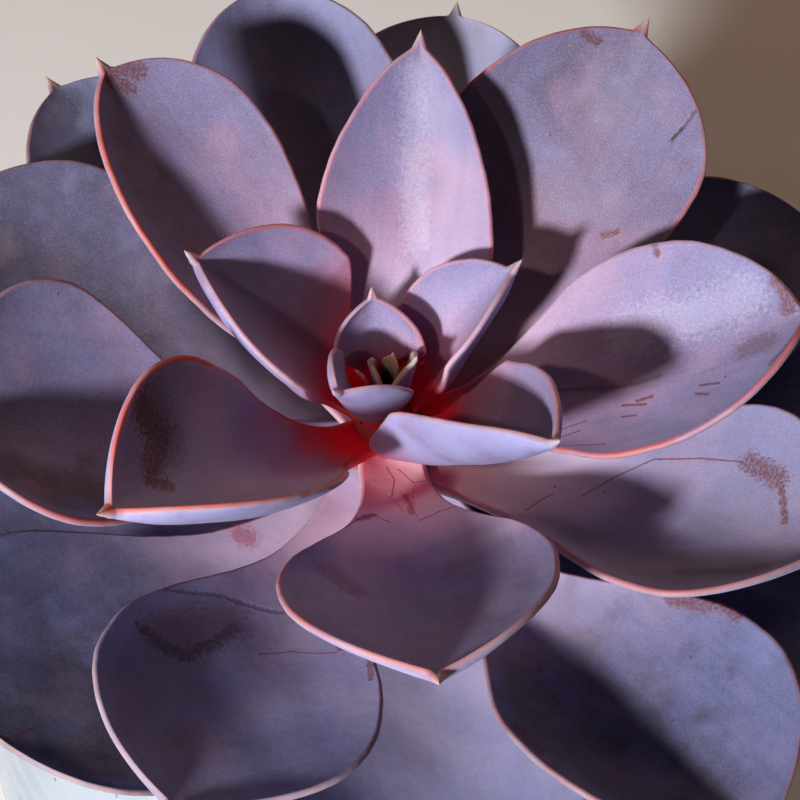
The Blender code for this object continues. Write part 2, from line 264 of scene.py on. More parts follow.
def leaf_surface(leaf):
    """A leaf's rings of points, and for each point its distance along and across the leaf and from the margin.

    The midrib climbs at the leaf's rise, which changes by bend over its length, as a running sum of short
    steps. The section at each step stands square to it, cupped less at the root, with waves at the margins and
    a faint pucker in the blade. The last distance is negative on the underside.
    """
    end = leaf["length"] + leaf["point"]
    s = -ROOT_SINK + (end + ROOT_SINK) * (1 - (1 - np.linspace(0, 1, LEAF_ROWS)) ** 1.35)
    v = s / leaf["length"]
    climb = np.radians(leaf["rise"] + leaf["bend"] * v)
    level = np.zeros(LEAF_ROWS)
    along = np.stack([np.cos(climb), level, np.sin(climb)], axis=1)
    upper = np.stack([-np.sin(climb), level, np.cos(climb)], axis=1)
    left = np.stack([level, level + 1, level], axis=1)
    roll = np.radians(leaf["roll"] * np.clip(v / 0.5, 0, 1))[:, None]
    upper, left = upper * np.cos(roll) + left * np.sin(roll), left * np.cos(roll) - upper * np.sin(roll)
    moves = (along[1:] + along[:-1]) / 2 * np.diff(s)[:, None]
    root = np.array([leaf["root"], 0.0, 0.0]) - ROOT_SINK * along[0]
    midrib = np.vstack([root, root + np.cumsum(moves, axis=0)])

    closing = np.sqrt(1 - (1 - np.clip((end - s) / TIP_CLOSE, 0, 1)) ** 2)
    on_left = half_width(leaf, s, leaf["widest"] + leaf["lean"]) * closing
    on_right = half_width(leaf, s, leaf["widest"] - leaf["lean"]) * closing
    mean = (on_left + on_right) / 2
    edge = np.minimum(leaf["edge"], 1.4 * mean + 0.2) * closing
    body = np.minimum(leaf["thickness"] * (1 - 0.45 * np.clip(v, 0, 1) ** 1.5), 1.2 * mean + 0.4) * closing
    rim = 0.42 * edge
    u, w = ring_places(np.clip(rim / np.maximum(mean, 0.01), 0, 0.9))
    aside, raised, tilt = section(leaf, u)

    start = 7.1 * leaf["number"] + 2.3 * np.sign(u)
    waves = np.sin(0.23 * s[:, None] + start) + 0.6 * np.sin(0.61 * s[:, None] + 2.1 * start)
    waves = waves + 0.25 * np.sin(1.9 * s[:, None] + 3.7 * start)
    nicks = NICKS * waves * abs(u) ** 3 * np.clip(v / 0.2, 0, 1)[:, None]
    half = (mean[:, None] + (on_left - on_right)[:, None] / 2 * u) + nicks * np.clip(mean / 8, 0, 1)[:, None]
    cup = ROOT_CUP + (1 - ROOT_CUP) * np.clip(v / ROOT_CUP_LENGTH, 0, 1)
    ripple = np.sin(2 * np.pi * (WAVES_PER_LEAF * v[:, None] + leaf["phase"]) + 1.3 * np.sign(u)) * abs(u) ** 3
    ripple = leaf["wave"] * ripple * (mean / (leaf["width"] / 2))[:, None]
    across = half * u
    pucker = np.sin(0.42 * s[:, None] + 0.9 * np.sin(0.31 * across + leaf["phase"]))
    pucker = pucker * np.sin(0.36 * across + 5 * leaf["phase"]) * (1 - u ** 2)
    pucker = PUCKER * pucker * np.clip(mean / 12, 0, 1)[:, None]

    crown = (np.maximum(body, edge) - edge)[:, None] * (1 - u ** 2)
    offset = rim[:, None] * w + crown * np.where(w > 0, 0.15 * w, 0.85 * w) + pucker
    sideways = half * aside - offset * np.sin(tilt)
    upwards = half * raised * cup[:, None] + ripple + offset * np.cos(tilt)
    points = midrib[:, None] + left[:, None] * sideways[..., None] + upper[:, None] * upwards[..., None]
    beside = np.clip(abs(sideways), 0, 0.95 * leaf["root"])
    hug = leaf["root"] - np.sqrt(leaf["root"] ** 2 - beside ** 2)
    points[..., 0] -= hug * (np.clip(1 - np.maximum(v, 0) / 0.12, 0, 1) ** 2)[:, None]

    from_margin = np.sign(w) * half * (1 - abs(u))
    place = np.stack([np.broadcast_to(s[:, None], u.shape), across, from_margin], axis=-1)
    return turned_to(points, leaf), place


def turned_to(points, leaf):
    """Points of a leaf that lies along +X, turned to its azimuth and lifted to its height on the stem."""
    angle = radians(leaf["azimuth"])
    x, y, z = points[..., 0], points[..., 1], points[..., 2]
    return np.stack([x * np.cos(angle) - y * np.sin(angle), x * np.sin(angle) + y * np.cos(angle),
                     z + leaf["height"]], axis=-1)


def piece_from_rings(name, rings, look, place=None):
    """A closed smooth object from rings of points in millimetres, with a pole in the middle of each end ring.

    Point k of ring r is number r times the ring's count plus k. Each face joins two neighbours of one ring to
    the same two of the next, and the last point of a ring joins its first.
    """
    rows, count = rings.shape[:2]
    r, k = np.meshgrid(np.arange(rows - 1) * count, np.arange(count), indexing="ij")
    n = (k + 1) % count
    sides = np.stack([r + k, r + n, r + count + n, r + count + k], axis=-1).reshape(-1, 4)
    one, last = np.arange(count), (rows - 1) * count
    other = (one + 1) % count
    first_pole, last_pole = np.full(count, rows * count), np.full(count, rows * count + 1)
    caps = np.vstack([np.stack([first_pole, other, one], axis=-1),
                      np.stack([last_pole, last + one, last + other], axis=-1)])
    points = np.vstack([rings.reshape(-1, 3), rings[0].mean(axis=0), rings[-1].mean(axis=0)])
    mesh = bpy.data.meshes.new(name)
    mesh.from_pydata((points * MM).tolist(), [], sides.tolist() + caps.tolist())
    if place is not None:
        values = np.vstack([place.reshape(-1, 3), place[0].mean(axis=0), place[-1].mean(axis=0)])
        stored = mesh.attributes.new("leaf_place", "FLOAT_VECTOR", "POINT")
        stored.data.foreach_set("vector", values.astype(np.float32).ravel())
    mesh.materials.append(look)
    mesh.shade_smooth()
    made = bpy.data.objects.new(name, mesh)
    bpy.context.scene.collection.objects.link(made)
    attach(made, "root")
    return made


def smooth_line(points, spacing, rounding):
    """Evenly spaced points on an outline of straight stretches, its corners rounded by a running mean.

    spacing is their distance, and rounding the length of line over which each is averaged, three times.
    """
    points = np.asarray(points, float)
    along = np.concatenate([[0], np.cumsum(np.hypot(*np.diff(points, axis=0).T))])
    even = np.linspace(0, along[-1], int(along[-1] / spacing) + 1)
    line = np.stack([np.interp(even, along, points[:, k]) for k in (0, 1)], axis=1)
    reach = max(1, int(rounding / spacing / 2))
    window = np.ones(2 * reach + 1) / (2 * reach + 1)
    for _ in range(3):
        before = 2 * line[0] - line[reach:0:-1]
        after = 2 * line[-1] - line[-2:-reach - 2:-1]
        padded = np.vstack([before, line, after])
        line = np.stack([np.convolve(padded[:, k], window, mode="valid") for k in (0, 1)], axis=1)
    return line


def turned_rings(line, steps):
    """Rings about Z for the (radius, height) points of a line: each point carried round in equal steps."""
    angle = np.linspace(0, 2 * np.pi, steps, endpoint=False)
    radius, height = line[:, :1], line[:, 1:]
    return np.stack([radius * np.cos(angle), radius * np.sin(angle), height + 0 * angle], axis=-1)


def lumps(x, y, size, seed):
    """A smooth random relief, mostly from -1 to 1: a sum of sine waves in seeded directions, about size long."""
    draw = np.random.default_rng(seed)
    angles = draw.uniform(0, np.pi, LUMP_WAVES)
    lengths = draw.uniform(0.6, 1.5, LUMP_WAVES)
    starts = draw.uniform(0, 6.3, LUMP_WAVES)
    total = 0
    for angle, length, start in zip(angles, lengths, starts):
        wave = 2 * np.pi / (size * length)
        total = total + np.sin(wave * (x * np.cos(angle) + y * np.sin(angle)) + start)
    return total / 5


# The colour sockets of a Mix node, which has others of the same names for numbers and vectors
MIX_SHARE, MIX_FIRST, MIX_SECOND, MIX_RESULT = 0, 6, 7, 2


class Finish:
    """One material's nodes, with short calls that make them and join them up."""

    def __init__(self, name, **constants):
        """A material whose shader has the constants on its own sockets."""
        self.made = bpy.data.materials.new(name)
        self.made.use_nodes = True
        self.tree = self.made.node_tree
        self.shader = self.tree.nodes["Principled BSDF"]
        for socket, value in constants.items():
            self.shader.inputs[socket.replace("_", " ")].default_value = value

    def join(self, value, socket):
        """Links a node's output to the socket, or sets a plain number or colour on it."""
        if isinstance(value, bpy.types.NodeSocket):
            self.tree.links.new(value, socket)
        elif isinstance(value, (tuple, list)) and socket.type == "RGBA":
            socket.default_value = (*value, 1.0)
        else:
            socket.default_value = value

    def node(self, kind, inputs=(), **settings):
        """A new node with its settings, and with a value or a link on each of the named or numbered inputs."""
        made = self.tree.nodes.new(kind)
        for key, value in settings.items():
            setattr(made, key, value)
        for key, value in dict(inputs).items():
            self.join(value, made.inputs[key])
        return made

    def maths(self, operation, *values, clamp=False):
        """The result of an operation on numbers."""
        made = self.node("ShaderNodeMath", enumerate(values), operation=operation, use_clamp=clamp)
        return made.outputs[0]

    def vector(self, operation, *values, output="Vector"):
        """The result of an operation on vectors."""
        made = self.node("ShaderNodeVectorMath", enumerate(values), operation=operation)
        return made.outputs[output]

    def band(self, value, start, end, low=0.0, high=1.0):
        """low before start and high after end, with a smooth step between them. start may be above end."""
        inputs = {"Value": value, "From Min": start, "From Max": end, "To Min": low, "To Max": high}
        return self.node("ShaderNodeMapRange", inputs, interpolation_type="SMOOTHSTEP").outputs["Result"]

    def mix(self, share, first, second):
        """A colour between the first, at a share of 0, and the second, at 1."""
        inputs = {MIX_SHARE: share, MIX_FIRST: first, MIX_SECOND: second}
        return self.node("ShaderNodeMix", inputs, data_type="RGBA").outputs[MIX_RESULT]

    def noise(self, place, size, detail=2.0, rough=0.5, distortion=0.0):
        """Soft noise from 0 to 1 whose grains are about size millimetres, where place is in metres."""
        inputs = {"Vector": place, "Scale": 1 / (size * MM), "Detail": detail, "Roughness": rough,
                  "Distortion": distortion}
        return self.node("ShaderNodeTexNoise", inputs).outputs["Fac"]

    def object_place(self):
        """The place on the piece, in metres."""
        return self.node("ShaderNodeTexCoord").outputs["Object"]

    def bump(self, height, distance, strength=1.0, after=None):
        """A relief of that height, distance millimetres deep at most, on top of the one it comes after."""
        inputs = {"Height": height, "Distance": distance * MM, "Strength": strength}
        if after is not None:
            inputs["Normal"] = after
        return self.node("ShaderNodeBump", inputs).outputs["Normal"]

    def surface(self, **values):
        """Joins values to the shader's sockets of those names, and returns the material."""
        for socket, value in values.items():
            self.join(value, self.shader.inputs[socket.replace("_", " ")])
        return self.made


# The numbers of the last young leaf and the first old one, between which the skin ages, and how much light goes
# through the flesh of the leaves, by their numbers
YOUNG, OLD = 9, 20
LIGHT_THROUGH = ([3, 10, 12], [0.40, 0.30, 0.0])

# Skin colours: of young and of old leaves, towards the root (inner) and the tip (outer), and where the wax is thin,
# which also serves as painted shade
YOUNG_OUTER = (0.27, 0.25, 0.43)
YOUNG_INNER = (0.42, 0.28, 0.42)
OLD_OUTER = (0.17, 0.18, 0.33)
OLD_INNER = (0.23, 0.20, 0.32)
YOUNG_THIN_AND_SHADE = (0.19, 0.11, 0.14)
OLD_THIN_AND_SHADE = (0.062, 0.052, 0.054)
# The colour of the painted shade laid over one half of some leaves
HALF_SHADE_COLOUR = (0.12, 0.10, 0.11)
ROSE_BASE = (0.94, 0.78, 0.88)
LAVENDER_BASE = (0.74, 0.58, 0.74)
RED_BASE = (0.42, 0.07, 0.13)
CRIMSON_BASE = (0.95, 0.02, 0.07)
PINK_PATCH = (0.56, 0.34, 0.42)
BLUE_PATCH = (0.27, 0.28, 0.48)
PALE_GRAIN = (0.60, 0.57, 0.73)
PINK_GRAIN = (0.56, 0.32, 0.42)
UNDERSIDE = (0.36, 0.355, 0.60)
UNDERSIDE_WORN = (0.30, 0.24, 0.42)
PALE_MARGIN = (0.68, 0.46, 0.52)
OLD_MARGIN = (0.46, 0.38, 0.34)
RED_MARGIN = (0.60, 0.10, 0.05)
OLD_RED_MARGIN = (0.38, 0.075, 0.045)
DARK_SPECK = (0.10, 0.05, 0.04)
CREAM_TIP = (0.62, 0.48, 0.42)

# How strong the red line by the margin is, from 0 to 1, left and right of the midrib, seen from the root to the tip
RED_LINE = (0.3, 0.3)
RED_LINES = {3: (0.1, 0.3), 4: (0.1, 0.1), 5: (0.1, 0.15), 6: (0.15, 0.6), 7: (0.3, 0.3), 8: (0.3, 0.35),
             9: (1.0, 1.0), 10: (0.2, 0.7), 11: (0.85, 0.35), 12: (0.3, 0.55), 13: (0.5, 0.4), 14: (0.9, 0.2),
             15: (0.2, 0.6), 16: (0.3, 0.2), 17: (0.3, 0.1), 20: (0.3, 0.5), 22: (0.1, 0.35)}

# How far the red reaches out from the root on the leaves that have it, in millimetres
RED_REACH = {3: 5.0, 4: 5.0, 5: 8.0, 6: 13.0, 7: 14.0, 8: 5.0, 9: 19.0, 10: 9.0, 13: 9.0}

# How far a leaf's root half turns to its pale rose, from 0 to 1, on most leaves and on some of them. The rose is the
# roots' own pink, made paler as painted light on leaves 12, 17 and 22, whose roots lie in shade
ROSY_ROOT = 0.15
ROSY_ROOTS = {3: 0.3, 5: 0.3, 6: 0.2, 7: 0.2, 8: 0.25, 9: 0.2, 12: 1.0, 13: 0.2, 15: 0.85, 17: 0.95,
              20: 0.6, 22: 0.8, 25: 0.4}

# The heart's colour, a dark painted shade for the deep hollow at the growing point, and the green of its smallest
# leaves' tips
HEART_SHADE = (0.10, 0.06, 0.07)
HEART_TIP = (0.40, 0.42, 0.30)

# Leaves with painted shade over one half, where a shadow falls on it: the side, 1 for left and -1 for right, and how
# dark the painted shade is
SHADED_HALVES = {11: (1, 0.35), 12: (1, 0.3), 13: (1, 0.3), 14: (1, 0.75), 15: (-1, 0.6), 17: (-1, 0.5), 20: (-1, 0.7),
          22: (1, 0.85)}

# Leaves painted lighter than the rest where they lie in light, by a share of pale wax colour added, and leaves
# painted darker where they lie in shadow, by a share below 0: painted light and painted shade
PAINTED_LIGHT_AND_SHADE = {9: 0.22, 11: -0.15, 13: -0.3, 14: -0.1, 15: 0.2, 17: 0.15, 19: -0.5, 21: 0.4, 22: -0.4, 24: -0.25, 25: 0.3}

# Old marks on the leaves' tops, and painted highlights along some midribs: a kind, a radius, and the places that it
# joins, each by its distances along the leaf and across it, where the left is above 0
MARKS = {
    8: [("painted_highlight", 1.5, [(47.5, 1.0), (42.0, 0.0), (34.5, -0.5), (28.5, -1.0), (22.5, -2.0)])],
    9: [("scab", 2.2, [(48.0, -13.0), (44.0, -9.0), (46.5, -5.5)]),
        ("scab", 1.0, [(48.0, -3.0), (45.0, -1.5)]), ("smear", 3.0, [(46.0, -13.5), (42.5, -7.5)])],
    10: [("line", 0.32, [(36.5, -6.0), (38.8, -6.0)]), ("line", 0.24, [(34.0, -6.0), (38.0, -7.2)]),
         ("line", 0.22, [(34.5, -8.5), (36.6, -8.9)]), ("line", 0.24, [(46.5, -6.5), (49.5, -7.3)]),
         ("line", 0.28, [(46.0, -8.0), (48.0, -9.0)]), ("line", 0.24, [(50.5, -6.5)]),
         ("line", 0.16, [(23.0, -8.5), (26.0, -8.0), (28.5, -7.5)]),
         ("line", 0.16, [(23.5, -10.5), (28.0, -9.5)]), ("line", 0.12, [(25.5, -12.5), (33.0, -14.0)]),
         ("scab", 1.2, [(60.0, 6.0), (61.0, 4.0), (60.5, 2.0)]),
         ("smear", 1.4, [(53.5, -2.5), (57.0, -2.5)]),
         ("crease", 0.28, [(23.0, 0.0), (31.0, -2.0), (36.5, -2.5), (40.0, -2.5)]),
         ("scab", 0.5, [(43.5, 16.5), (43.5, 15.5)]),
         ("painted_highlight", 2.4, [(35.5, 6.0), (45.5, 5.5), (54.5, 5.5)]),
         ("scab", 0.5, [(58.0, -7.5), (61.5, -3.5), (63.5, 0.0)])],
    11: [("scab", 1.3, [(63.0, 0.0), (62.0, -2.5), (60.5, -4.0)]),
         ("scab", 0.8, [(62.0, 1.0), (59.0, -1.5)])],
    12: [("blush", 0.45, [(11.0, 1.2), (14.0, 1.8), (16.5, 1.6)]),
         ("thread", 0.10, [(9.5, 0.5), (13.0, 1.6), (18.0, 2.4)]),
         ("thread", 0.08, [(8.0, 3.2), (12.0, 2.4), (15.0, 2.6)]),
         ("thread", 0.08, [(10.5, -2.0), (12.5, -0.5), (16.0, 0.5)]),
         ("scab", 0.6, [(19.0, -7.0), (17.0, -4.5)]),
         ("line", 0.14, [(24.5, -10.5), (19.0, -7.0), (17.0, -4.5), (19.0, -2.0)]),
         ("line", 0.14, [(19.0, 2.5), (18.0, 6.0), (18.5, 8.5)]),
         ("line", 0.11, [(2.0, -1.0), (6.0, 0.0), (11.0, -1.0)]),
         ("line", 0.11, [(3.0, 1.0), (7.5, 3.0), (7.5, 5.0)]),
         ("smear", 1.8, [(38.0, -12.0), (41.5, -9.0)])],
    13: [("crease", 0.26, [(55.5, -13.0), (58.5, -14.0), (61.5, -14.5)]),
         ("line", 0.10, [(55.5, -13.0), (58.5, -14.0), (61.5, -14.5)]),
         ("bruise", 0.2, [(55.8, -13.1), (57.8, -13.8)]),
         ("scab", 0.7, [(63.0, 8.0), (63.0, 5.5)]), ("scab", 0.5, [(38.0, -11.5), (39.5, -13.0)])],
    14: [("line", 0.16, [(58.0, 6.5), (57.5, 8.0), (55.5, 12.5)]),
         ("smear", 2.6, [(53.5, 11.0), (46.0, 12.5)]), ("line", 0.25, [(51.5, -19.5)])],
    15: [("line", 0.14, [(28.5, 1.0), (32.0, 5.5), (37.0, 9.5), (44.0, 11.0), (51.0, 11.5)]),
         ("scab", 1.4, [(52.0, 11.5), (55.0, 10.5), (57.5, 9.5)]),
         ("scab", 0.45, [(58.5, 8.0), (61.0, 3.0)]),
         ("line", 0.14, [(22.5, -5.5), (23.0, -2.0), (24.0, 0.0)]),
         ("smear", 1.3, [(54.5, -12.5), (63.0, -8.0)]), ("line", 0.26, [(23.5, 1.5)])],
    17: [("bruise", 0.7, [(49.5, -16.5), (49.5, -13.0), (48.5, -10.0), (43.0, -7.5), (39.0, -6.5)]),
         ("smear", 3.0, [(47.5, -14.0), (43.5, -10.0), (38.5, -8.0)]),
         ("crease", 0.25, [(41.0, -17.5), (35.5, -11.0), (32.0, -2.5), (30.0, 0.0)]),
         ("line", 0.12, [(41.0, -1.5), (38.0, 2.5), (37.0, 8.5), (35.5, 11.0)]),
         ("scab", 0.5, [(36.0, 9.0), (35.5, 11.0)]), ("scab", 0.45, [(38.5, 14.5), (42.0, 16.0)]),
         ("line", 0.3, [(49.5, -18.0)])],
    20: [("scab", 1.1, [(45.0, 16.5), (47.5, 18.0), (50.0, 19.5)]),
         ("scab", 0.9, [(51.5, 20.5), (54.5, 21.0)]), ("scab", 1.1, [(51.0, -19.5), (55.5, -19.5)]),
         ("line", 0.26, [(53.0, 12.0)]), ("line", 0.22, [(40.0, -6.5)]), ("line", 0.22, [(48.0, -5.0)]),
         ("line", 0.2, [(58.0, 3.5)])],
    22: [("line", 0.16, [(70.0, 2.5), (65.0, 3.0)]), ("blush", 1.5, [(19.5, -5.5), (19.0, -4.5)])],
}

# For each kind of mark: its colour, its strength, how far its edge fades out as a share of its radius, and how
# broken up it is, from 0 for whole to 1 for separate corky specks
MARK_KINDS = {
    "line": ((0.20, 0.045, 0.030), 0.8, 0.8, 0.2),
    "thread": ((0.55, 0.10, 0.11), 0.6, 1.2, 0.2),
    "scab": ((0.24, 0.070, 0.045), 0.8, 1.3, 0.65),
    "bruise": ((0.030, 0.026, 0.028), 0.65, 2.2, 0.35),
    "smear": ((0.13, 0.065, 0.055), 0.5, 1.6, 0.3),
    "crease": ((0.060, 0.035, 0.045), 0.35, 2.4, 0.0),
    "blush": ((0.40, 0.030, 0.060), 0.6, 1.5, 0.3),
    # A painted highlight: a pale grainy streak standing in for light caught along the midrib
    "painted_highlight": ((0.66, 0.64, 0.80), 0.27, 2.4, 0.35),
}


def near_path(skin, place, points):
    """The distance from a place on the leaf to a path: the least of its distances to the path's straight parts.

    The nearest place of a part is its start plus the run to its end, times how far along the run the place
    lies, kept between 0 and 1.
    """
    nearest = None
    for (along, across), (next_along, next_across) in zip(points, points[1:] or points):
        run = (next_along - along, next_across - across, 0.0)
        away = skin.vector("SUBTRACT", place, (along, across, 0.0))
        length_squared = max(run[0] ** 2 + run[1] ** 2, 1e-6)
        share = skin.vector("DOT_PRODUCT", away, run, output="Value")
        share = skin.maths("DIVIDE", share, length_squared, clamp=True)
        foot = skin.node("ShaderNodeVectorMath", {0: run, "Scale": share}, operation="SCALE").outputs["Vector"]
        distance = skin.vector("DISTANCE", away, foot, output="Value")
        nearest = distance if nearest is None else skin.maths("MINIMUM", nearest, distance)
    return nearest


def leaf_marks(skin, leaf, colour, place, grain, on_top):
    """The colour with the leaf's old marks and painted highlights on it, and the height that scabs add and creases
    take away.

    A mark is the band of places that are near its path, with a ragged edge and only on the leaf's top.
    """
    threads = skin.vector("MULTIPLY", place, (2.4 * MM, 1.0 * MM, MM))
    specks = skin.band(skin.noise(threads, 0.8, 4.0, 0.7), 0.40, 0.62)
    ragged = skin.noise(skin.vector("MULTIPLY", place, (MM, MM, MM)), 0.7, 2.0)
    raised = None
    for kind, radius, points in MARKS.get(leaf["number"], ()):
        tint, strength, fade, broken = MARK_KINDS[kind]
        wander = skin.maths("MULTIPLY_ADD", ragged, 1.6 * radius * fade, near_path(skin, place, points))
        shape = skin.band(wander, radius * (1 + 1.3 * fade), radius * (0.5 + 0.8 * fade))
        if broken:
            gaps = skin.band(grain, 0.38, 0.62) if kind == "painted_highlight" else specks
            shape = skin.maths("MULTIPLY", shape, skin.maths("MULTIPLY_ADD", gaps, broken, 1 - broken))
        shape = skin.maths("MULTIPLY", skin.maths("MULTIPLY", shape, strength), on_top)
        colour = skin.mix(shape, colour, tint)
        if kind in ("scab", "crease"):
            height = skin.maths("MULTIPLY", shape, 1.0 if kind == "scab" else -1.0)
            raised = height if raised is None else skin.maths("ADD", raised, height)
    return colour, raised


def leaf_finish(leaf):
    """Grey-violet skin under grainy wax: bluer outwards, rose and crimson at the root, with a pale margin, and on
    some leaves painted light and painted shade.

    The colour starts from two skin colours that meet in a cloudy line along the leaf. Each line after that lays one
    more thing over it, by a share that is a smooth band of a noise or of a distance on the leaf: s is the distance
    from the root, across the one from the midrib, and m the one from the margin, below 0 on the underside.
    """
    i = leaf["number"]
    through = float(np.interp(i, *LIGHT_THROUGH))
    skin = Finish(f"leaf_{i:02d}_skin", Subsurface_Weight=through, Subsurface_Scale=0.004,
                  Subsurface_Radius=(1.0, 0.5, 0.55), Sheen_Weight=0.05, Sheen_Roughness=0.45,
                  Sheen_Tint=(0.80, 0.82, 1.0, 1.0), IOR=1.40)
    stored = skin.node("ShaderNodeAttribute", attribute_name="leaf_place").outputs["Vector"]
    split = skin.node("ShaderNodeSeparateXYZ", {0: stored})
    s, across, m = split.outputs["X"], split.outputs["Y"], split.outputs["Z"]
    place = skin.vector("MULTIPLY", stored, (1.0, 1.0, 0.0))
    here = skin.object_place()
    on_top = skin.band(m, 0.0, 0.3)
    length = leaf["length"]
    age = float(np.clip((i - YOUNG) / (OLD - YOUNG), 0, 1))
    inner, outer, thin_wax_and_shade, base, edge_tint = (
        tuple(y + (o - y) * age for y, o in zip(young, old)) for young, old in
        ((YOUNG_INNER, OLD_INNER), (YOUNG_OUTER, OLD_OUTER), (YOUNG_THIN_AND_SHADE, OLD_THIN_AND_SHADE),
         (ROSE_BASE, LAVENDER_BASE), (PALE_MARGIN, OLD_MARGIN)))
    # The smallest leaves take the heart's painted shade towards the root
    if i < FIRST_OWN_LEAF:
        inner, outer, base = HEART_SHADE, HEART_TIP, HEART_SHADE

    clouds = skin.noise(here, 14.0, 2.0)
    outward = skin.maths("MULTIPLY_ADD", clouds, 0.9 * length, s)
    colour = skin.mix(skin.band(outward, 0.70 * length, 1.30 * length), inner, outer)
    streaks = skin.noise(skin.vector("MULTIPLY", place, (0.07 * MM, MM, MM)), 1.6, 2.0)
    colour = skin.mix(skin.band(streaks, 0.42, 0.75, 0.0, 0.16), colour, thin_wax_and_shade)
    wear = skin.noise(here, 7.0, 3.0, 0.6)
    colour = skin.mix(skin.band(wear, 0.50, 0.80, 0.0, 0.22 + 0.30 * age), colour, thin_wax_and_shade)
    # Painted shade over one half of the leaf, standing in for a shadow cast on it
    if i in SHADED_HALVES:
        side, shade_share = SHADED_HALVES[i]
        half = leaf["width"] / 2
        inwards = skin.maths("MULTIPLY_ADD", skin.maths("SUBTRACT", wear, 0.5), 0.9 * half, across)
        bare_clay_and_shaded_half = skin.band(inwards, 0.15 * half * side, 0.40 * half * side, 0.0, shade_share)
        colour = skin.mix(skin.maths("MULTIPLY", bare_clay_and_shaded_half, skin.band(m, 2.0, 4.5)), colour, HALF_SHADE_COLOUR)
    # Painted shade down the middle of the blade, darker on older leaves, where the valley lies in shadow
    middle = skin.maths("MULTIPLY_ADD", wear, 0.5 * leaf["width"], skin.maths("ABSOLUTE", across))
    painted_valley_shade = skin.band(middle, 0.48 * leaf["width"], 0.22 * leaf["width"], 0.0, 0.12 + 0.43 * age)
    painted_valley_shade = skin.maths("MULTIPLY", painted_valley_shade, skin.band(s, 0.30 * length, 0.55 * length))
    colour = skin.mix(painted_valley_shade, colour, thin_wax_and_shade)
    # Painted light over the whole leaf above 0, painted shade below 0
    if i in PAINTED_LIGHT_AND_SHADE:
        colour = skin.mix(abs(PAINTED_LIGHT_AND_SHADE[i]), colour, PALE_GRAIN if PAINTED_LIGHT_AND_SHADE[i] > 0 else thin_wax_and_shade)
    patches = skin.noise(here, 9.0, 2.0, 0.6)
    colour = skin.mix(skin.band(patches, 0.50, 0.75, 0.0, 0.26 - 0.14 * age), colour, PINK_PATCH)
    colour = skin.mix(skin.band(patches, 0.48, 0.25, 0.0, 0.38), colour, BLUE_PATCH)

    grain = skin.noise(here, 0.24, 1.0)
    fine = 1 - 0.55 * age
    colour = skin.mix(skin.band(grain, 0.48, 0.70, 0.0, 0.18 * fine), colour, PALE_GRAIN)
    colour = skin.mix(skin.band(skin.noise(here, 0.32, 0.0), 0.54, 0.70, 0.0, 0.14 * fine), colour, PINK_GRAIN)
    colour = skin.mix(skin.band(grain, 0.44, 0.28, 0.0, 0.22 * fine), colour, thin_wax_and_shade)
    # The roots' own pale pink, partly painted light where a root lies in shade
    rosy = ROSY_ROOTS.get(i, ROSY_ROOT)
    near_root = skin.maths("MULTIPLY_ADD", clouds, 12.0, s)
    colour = skin.mix(skin.band(near_root, 0.64 * length, 0.28 * length, 0.0, rosy), colour, base)
    cells = skin.node("ShaderNodeTexVoronoi", {"Vector": here, "Scale": 190.0}, feature="F1")
    kept = skin.band(skin.node("ShaderNodeSeparateColor", {0: cells.outputs["Color"]}).outputs[0], 0.70, 0.72)
    speck = skin.maths("MULTIPLY", skin.band(cells.outputs["Distance"], 0.045, 0.025, 0.0, 0.6), kept)
    colour = skin.mix(speck, colour, DARK_SPECK)

    below = skin.mix(skin.band(wear, 0.42, 0.72), UNDERSIDE, UNDERSIDE_WORN)
    colour = skin.mix(skin.band(m, 0.0, -0.5, 0.0, 0.85), colour, below)
    if i in RED_REACH:
        reach = RED_REACH[i]
        ragged = skin.maths("MULTIPLY_ADD", skin.noise(here, 6.0, 3.0), 0.5 * reach, s)
        colour = skin.mix(skin.band(ragged, 1.9 * reach, 0.8 * reach, 0.0, 0.65), colour, RED_BASE)
        crimson = skin.band(ragged, 1.15 * reach, 0.5 * reach)
        colour = skin.mix(crimson, colour, CRIMSON_BASE)
        skin.surface(Subsurface_Weight=skin.maths("MULTIPLY_ADD", crimson, 0.8 - through, through))

    colour, raised = leaf_marks(skin, leaf, colour, place, grain, on_top)
    size = min(1.0, leaf["width"] / 24)
    fade = skin.maths("MULTIPLY_ADD", wear, 0.6 * size, skin.maths("ABSOLUTE", m))
    edge_tint = skin.mix(skin.band(skin.noise(here, 8.0, 2.0), 0.35, 0.65), edge_tint, CREAM_TIP)
    colour = skin.mix(skin.band(fade, 0.62 * size, 0.20 * size, 0.0, 0.55), colour, edge_tint)
    left_red, right_red = RED_LINES.get(i, RED_LINE)
    red = skin.band(across, -1.0, 1.0, right_red, left_red)
    patchy = skin.band(skin.noise(here, 12.0, 3.0), 0.30, 0.62, 0.32, 0.95)
    patchy = skin.maths("MULTIPLY", patchy, skin.maths("MULTIPLY_ADD", red, 0.80, 0.20))
    inwards = skin.maths("DIVIDE", m, skin.maths("MULTIPLY_ADD", red, 0.50, 0.3))
    line = skin.maths("MULTIPLY", skin.band(inwards, 1.15, 0.55), skin.band(m, -0.25, 0.15))
    old_line = tuple(young + (old - young) * age for young, old in zip(RED_MARGIN, OLD_RED_MARGIN))
    colour = skin.mix(skin.maths("MULTIPLY", line, patchy), colour, old_line)
    colour = skin.mix(skin.band(s, length + 0.2, length + 2.4, 0.0, 0.6), colour, CREAM_TIP)

    rough = skin.band(grain, 0.3, 0.7, 0.46, 0.64)
    relief = skin.bump(grain, 0.04, 0.5)
    relief = skin.bump(skin.noise(here, 2.0, 1.0), 0.10, 0.5, after=relief)
    if raised is not None:
        relief = skin.bump(raised, 0.15, 1.0, after=relief)
    return skin.surface(Base_Color=colour, Roughness=rough, Normal=relief)


